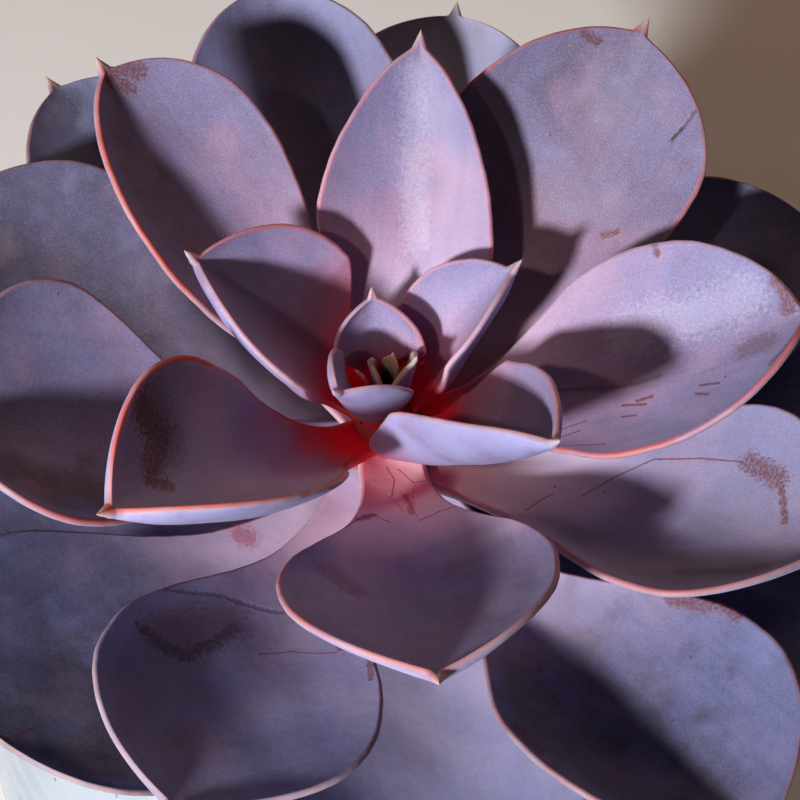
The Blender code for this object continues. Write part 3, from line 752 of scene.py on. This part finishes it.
def make_leaf(i):
    """Leaf i in its finish. The youngest ones stand for a part of the stem's node."""
    leaf = leaf_numbers(i)
    rings, place = leaf_surface(leaf)
    own_node = i >= FIRST_OWN_LEAF
    made = piece_from_rings(f"fine_leaf_{i:02d}", rings, leaf_finish(leaf), place)
    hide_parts(f"leaf_{i:02d}" if own_node else "stem")
    return made


# The stem's colours, and the heights in metres between which the bark turns to young bark and that to the crown's
# painted shade
BARK_CRACK = (0.10, 0.055, 0.035)
BARK = (0.36, 0.24, 0.17)
YOUNG_BARK = (0.34, 0.05, 0.07)
STEM_CROWN_SHADE = (0.06, 0.05, 0.035)
ROOTS_START = (0.124, 0.132)
CROWN_START = (0.153, 0.156)

# The scars below the leaves: how many, how wide, how high and how thick their raised rims are
SCARS = 10
SCAR_HALF_WIDTH = 4.2
SCAR_HALF_HEIGHT = 1.3
SCAR_RIM = 0.35
SCAR_RIM_SHARE = 0.28
SCARRED_RADIUS = 8.0


def stem_finish():
    """Dry cracked bark below, red between the leaf roots and painted shade, near black, at the growing point."""
    bark = Finish("stem_bark_finish", Roughness=0.75)
    here = bark.object_place()
    height = bark.node("ShaderNodeSeparateXYZ", {0: here}).outputs["Z"]
    flakes = bark.noise(here, 1.6, 4.0, 0.65, 0.4)
    colour = bark.mix(flakes, BARK_CRACK, BARK)
    colour = bark.mix(bark.band(height, *ROOTS_START), colour, YOUNG_BARK)
    # Painted shade of the hollow at the growing point
    colour = bark.mix(bark.band(height, *CROWN_START), colour, STEM_CROWN_SHADE)
    return bark.surface(Base_Color=colour, Normal=bark.bump(flakes, 0.3, 0.8))


def make_stem():
    """The stem from its crown down, with a scar where each lower leaf once grew.

    A scar's rim is raised by a bell curve of the distance from its middle, where that distance is 1 along an
    ellipse round it.
    """
    heights = [GROWING_POINT - DROP_PER_LEAF * i - 1.0 for i in range(FIRST_OWN_LEAF, LEAVES)]
    radii = [np.interp(i, *ROOT_RADIUS) - STEM_UNDER_ROOTS for i in range(FIRST_OWN_LEAF, LEAVES)]
    outline = [(radius, GROWING_POINT - depth) for radius, depth in STEM_CROWN]
    outline += [(radius - 1.0 * (height > 150), height) for radius, height in zip(radii, heights)]
    outline += [(radius, STEM_FOOT + height) for radius, height in STEM_LOWER]
    line = smooth_line(outline, 0.4, 1.2)
    rings = turned_rings(line[1:-1], STEM_STEPS)
    angle = np.arctan2(rings[..., 1], rings[..., 0])
    for j in range(LEAVES, LEAVES + SCARS):
        azimuth, height = radians(FIRST_AZIMUTH + TURN_PER_LEAF * j), GROWING_POINT - DROP_PER_LEAF * j
        beside = np.angle(np.exp(1j * (angle - azimuth))) * SCARRED_RADIUS / SCAR_HALF_WIDTH
        distance = np.hypot(beside, (rings[..., 2] - height) / SCAR_HALF_HEIGHT)
        raised = SCAR_RIM * np.exp(-((distance - 1) / SCAR_RIM_SHARE) ** 2)
        rings[..., 0] += raised * np.cos(angle)
        rings[..., 1] += raised * np.sin(angle)
    made = piece_from_rings("fine_stem", rings[::-1], stem_finish())
    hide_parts("stem")
    return made


# The colours of the soil and of its loose crumbs
DAMP_EARTH = (0.018, 0.012, 0.008)
DRY_EARTH = (0.10, 0.065, 0.04)
DARK_CRUMB = (0.025, 0.016, 0.011)
BARK_CRUMB = (0.16, 0.085, 0.045)
PUMICE = (0.50, 0.45, 0.38)
CRUMB_PITS = (0.02, 0.014, 0.01)


def soil_finish():
    """Dark, damp earth with browner crumbs."""
    earth = Finish("soil_finish", Roughness=0.95)
    here = earth.object_place()
    crumbs = earth.noise(here, 1.4, 5.0, 0.7)
    colour = earth.mix(earth.band(crumbs, 0.35, 0.65), DAMP_EARTH, DRY_EARTH)
    return earth.surface(Base_Color=colour, Normal=earth.bump(crumbs, 1.2, 1.0))


def pot_inner_radius(height):
    """The radius of the pot's inside at a height: that of its outside less the wall."""
    heights, radii = zip(*POT_OUTSIDE)
    return float(np.interp(height, heights, radii)) - POT_WALL


SOIL_EDGE = pot_inner_radius(SOIL_TOP) - 0.3


def mound(radius):
    """The height of the soil's top at a radius: a parabola that falls to SOIL_TOP at its edge."""
    return SOIL_TOP + SOIL_MOUND * (1 - (radius / SOIL_EDGE) ** 2)


def crumbly(x, y):
    """How far the soil's top stands above the mound: wide lumps and narrow ones."""
    return 0.7 * lumps(x, y, 9.0, 3) + 0.5 * lumps(x, y, 3.0, 4)


def make_soil():
    """Soil from the hole round the stem out to the pot's wall and down to its floor, its top a crumbly mound."""
    top = [(radius, mound(radius)) for radius in np.linspace(HOLE_RADIUS, SOIL_EDGE, 60)]
    lower = [(pot_inner_radius(height) - 0.5, height) for height in (100.0, 79.0, 64.0, 49.0, 34.0, 20.0)]
    hole_floor, lowest = STEM_FOOT - 0.4, POT_FLOOR + 0.4
    outline = [(0.5, hole_floor), (HOLE_RADIUS, hole_floor), *top, *lower]
    outline += [(POT_FLOOR_RADIUS - 1, lowest), (0.5, lowest)]
    rings = turned_rings(np.array(outline), ROUND_STEPS)
    x, y, z = rings[..., 0], rings[..., 1], rings[..., 2]
    on_top = (z > SOIL_TOP - 0.5) * np.clip((SOIL_EDGE + 1 - np.hypot(x, y)) / 4, 0.2, 1)
    rings[..., 2] += on_top * crumbly(x, y)
    made = piece_from_rings("fine_soil", rings[::-1], soil_finish())
    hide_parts("soil")
    return made


def grit_finish():
    """Crumbs of dark earth, brown bark and a few of pale pumice, each one colour with a rough grain."""
    crumb = Finish("grit_finish", Roughness=0.9)
    here = crumb.object_place()
    kind = crumb.node("ShaderNodeAttribute", attribute_name="kind").outputs["Fac"]
    grain = crumb.noise(here, 0.5, 3.0, 0.6)
    colour = crumb.mix(crumb.band(kind, 0.2, 0.7), DARK_CRUMB, BARK_CRUMB)
    colour = crumb.mix(crumb.band(kind, 0.88, 0.90), colour, PUMICE)
    colour = crumb.mix(crumb.band(grain, 0.45, 0.65, 0.0, 0.4), colour, CRUMB_PITS)
    return crumb.surface(Base_Color=colour, Normal=crumb.bump(grain, 0.3, 0.8))


def make_grit():
    """Loose crumbs on the soil: icosahedra with dented corners, turned at random and sunk by a third.

    Their corners are the three turns of (0, 1, golden ratio) with both signs of each, and their faces are the
    corner triples that lie one edge apart. Places are spread evenly over the ring of soil.
    """
    golden = (1 + 5 ** 0.5) / 2
    signs = np.array([(0, one, golden * other) for one in (-1, 1) for other in (-1, 1)])
    corners = np.vstack([np.roll(signs, k, axis=1) for k in range(3)])
    apart = np.linalg.norm(corners[:, None] - corners[None], axis=2)
    faces = [(a, b, c) if np.dot(np.cross(corners[a], corners[b]), corners[c]) > 0 else (a, c, b)
             for a in range(12) for b in range(a) for c in range(b)
             if max(apart[a, b], apart[b, c], apart[a, c]) < 2.01]

    draw = np.random.default_rng(11)
    radius = np.sqrt(draw.uniform((HOLE_RADIUS + 1.8) ** 2, (SOIL_EDGE - 1.6) ** 2, GRIT_COUNT))
    angle = draw.uniform(0, 2 * np.pi, GRIT_COUNT)
    smallest, largest = GRIT_SIZE
    size = smallest + (largest - smallest) * draw.uniform(0, 1, GRIT_COUNT) ** 3
    x, y = radius * np.cos(angle), radius * np.sin(angle)
    z = mound(radius) + crumbly(x, y)
    turns, _ = np.linalg.qr(draw.normal(size=(GRIT_COUNT, 3, 3)))
    turns *= np.sign(np.linalg.det(turns))[:, None, None]
    shapes = corners / np.linalg.norm(corners[0]) * draw.uniform(0.75, 1.15, (GRIT_COUNT, 12, 1))
    shapes = np.einsum("nij,nkj->nki", turns, shapes * draw.uniform(0.6, 1.0, (GRIT_COUNT, 1, 3)))
    points = shapes * size[:, None, None] / 2 + np.stack([x, y, z + 0.15 * size], axis=1)[:, None]
    all_faces = (np.arange(GRIT_COUNT)[:, None, None] * 12 + np.array(faces)).reshape(-1, 3)

    mesh = bpy.data.meshes.new("fine_grit")
    mesh.from_pydata((points.reshape(-1, 3) * MM).tolist(), [], all_faces.tolist())
    stored = mesh.attributes.new("kind", "FLOAT", "POINT")
    stored.data.foreach_set("value", np.repeat(draw.uniform(0, 1, GRIT_COUNT), 12).astype(np.float32))
    mesh.materials.append(grit_finish())
    made = bpy.data.objects.new("fine_grit", mesh)
    bpy.context.scene.collection.objects.link(made)
    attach(made, "root")
    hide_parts("soil")


# The pot's colours, and the heights in metres between which they change
GLAZE = (0.31, 0.35, 0.41)
THIN_GLAZE = (0.38, 0.42, 0.48)
THICK_GLAZE = (0.45, 0.55, 0.68)
LIP_GLAZE = (0.70, 0.60, 0.48)
IRON_SPECK = (0.20, 0.12, 0.07)
BARE_CLAY = (0.52, 0.38, 0.26)
THICK_GLAZE_START = (0.040, 0.004)
LIP_START = (0.1205, 0.1238)
CLAY_START = (0.0032, 0.0024)


def pot_finish():
    """Pale bluish-white glaze, thicker and bluer low down, thin and warm on the lip, on buff clay at the foot."""
    glaze = Finish("pot_glaze_finish", Coat_Weight=0.5, Coat_Roughness=0.08, IOR=1.5)
    here = glaze.object_place()
    height = glaze.node("ShaderNodeSeparateXYZ", {0: here}).outputs["Z"]
    clouds = glaze.noise(here, 30.0, 3.0)
    colour = glaze.mix(glaze.band(clouds, 0.35, 0.65), GLAZE, THIN_GLAZE)
    colour = glaze.mix(glaze.band(height, *THICK_GLAZE_START, 0.0, 0.45), colour, THICK_GLAZE)
    colour = glaze.mix(glaze.band(height, *LIP_START, 0.0, 0.5), colour, LIP_GLAZE)
    specks = glaze.node("ShaderNodeTexVoronoi", {"Vector": here, "Scale": 260.0}, feature="F1").outputs["Distance"]
    rare = glaze.band(glaze.noise(here, 3.0, 0.0), 0.60, 0.66)
    colour = glaze.mix(glaze.maths("MULTIPLY", glaze.band(specks, 0.12, 0.05), rare), colour, IRON_SPECK)
    uneven = glaze.maths("MULTIPLY_ADD", glaze.noise(here, 12.0, 2.0), 0.0012, height)
    bare_clay_and_shaded_half = glaze.band(uneven, *CLAY_START)
    colour = glaze.mix(bare_clay_and_shaded_half, colour, BARE_CLAY)
    rough = glaze.mix(bare_clay_and_shaded_half, (0.2, 0.2, 0.2), (0.8, 0.8, 0.8))
    relief = glaze.bump(glaze.noise(here, 14.0, 3.0), 0.25, 0.5)
    return glaze.surface(Base_Color=colour, Roughness=rough, Normal=relief)


def make_pot():
    """The pot as one turned wall: floor, inside, rounded lip, bellied outside with faint throwing rings, base.

    The rings are a sine of the height plus the share of a turn, so they run up the outside as one spiral.
    """
    mouth = POT_OUTSIDE[-1][1]
    inside = [(pot_inner_radius(height), height) for height, _ in POT_OUTSIDE if height > 2 * POT_FLOOR]
    rim = [(mouth - inwards, POT_HEIGHT - depth) for inwards, depth in RIM]
    outside = [(radius, height) for height, radius in reversed(POT_OUTSIDE)]
    outline = [(0.5, POT_FLOOR), (POT_FLOOR_RADIUS, POT_FLOOR), *inside, *rim, *outside, (0.5, 0.0)]
    line = smooth_line(outline, 0.7, 2.2)
    rings = turned_rings(line, ROUND_STEPS)
    x, y, z = rings[..., 0], rings[..., 1], rings[..., 2]
    outside = np.hypot(x, y) > np.interp(z, *zip(*POT_OUTSIDE)) - 1.5
    spiral = np.arctan2(y, x) / (2 * np.pi) + z / THROWING_SPACING + 0.3 * np.sin(z / 13)
    grown = THROWING_DEPTH * np.sin(2 * np.pi * spiral) * outside
    grown = grown * np.clip((z - 6) / 10, 0, 1) * np.clip((POT_HEIGHT - 5 - z) / 10, 0, 1)
    rings[..., 0] += grown * x / np.hypot(x, y)
    rings[..., 1] += grown * y / np.hypot(x, y)
    made = piece_from_rings("fine_pot", rings[::-1], pot_finish())
    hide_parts("pot")
    return made


def make_floor():
    """A wide pale floor with faint clouds in its colour."""
    floor = Finish("pale_floor", Roughness=0.7)
    bpy.ops.mesh.primitive_plane_add(size=6.0)
    made = bpy.context.object
    made.name = "floor"
    here = floor.object_place()
    colour = floor.mix(floor.noise(here, 60.0, 2.0), (0.86, 0.85, 0.83), (0.90, 0.89, 0.87))
    made.data.materials.append(floor.surface(Base_Color=colour))


def aimed_light(name, azimuth, elevation, distance, size, power, colour, cone=None):
    """A round light that faces the growing point from an azimuth, an elevation and a distance.

    With a cone, in degrees across, it is a spot light that fades out towards the cone's edge.
    """
    turn, rise = radians(azimuth), radians(elevation)
    towards = Vector((np.cos(rise) * np.cos(turn), np.cos(rise) * np.sin(turn), np.sin(rise)))
    light = bpy.data.lights.new(name, "SPOT" if cone else "AREA")
    if cone:
        light.shadow_soft_size = size / 2
        light.spot_size = radians(cone)
        light.spot_blend = 1.0
    else:
        light.shape = "DISK"
        light.size = size
    light.energy = power
    light.color = colour
    made = bpy.data.objects.new(name, light)
    made.location = Vector((0.0, 0.0, GROWING_POINT * MM)) + distance * towards
    made.rotation_euler = (-towards).to_track_quat("-Z", "Y").to_euler()
    bpy.context.scene.collection.objects.link(made)


def make_lights():
    """The aimed lights, the fill all round and how the picture shows them."""
    for name, light in LIGHTS.items():
        aimed_light(name, **light)
    world = bpy.data.worlds.new("studio")
    world.use_nodes = True
    world.node_tree.nodes["Background"].inputs["Color"].default_value = FILL_COLOUR
    world.node_tree.nodes["Background"].inputs["Strength"].default_value = FILL_STRENGTH
    bpy.context.scene.world = world
    bpy.context.scene.view_settings.view_transform = "Standard"
    bpy.context.scene.view_settings.look = "Medium High Contrast"


def make_camera():
    """The camera above the front, turned to the growing point, with the picture's middle shifted beside it."""
    rise = radians(CAMERA_ELEVATION)
    back = Vector((0.0, -np.cos(rise), np.sin(rise)))
    camera = bpy.data.cameras.new("camera")
    camera.lens = CAMERA_LENS
    camera.sensor_width = 36.0
    camera.shift_x, camera.shift_y = CAMERA_SHIFT
    camera.clip_start = 0.01
    made = bpy.data.objects.new("camera", camera)
    made.location = Vector((0.0, 0.0, GROWING_POINT * MM)) + back * CAMERA_DISTANCE * MM
    made.rotation_euler = (-back).to_track_quat("-Z", "Y").to_euler()
    bpy.context.scene.collection.objects.link(made)
    bpy.context.scene.camera = made


make_camera()
make_lights()
make_floor()
make_pot()
make_soil()
make_grit()
make_stem()
for number in range(LEAVES):
    make_leaf(number)
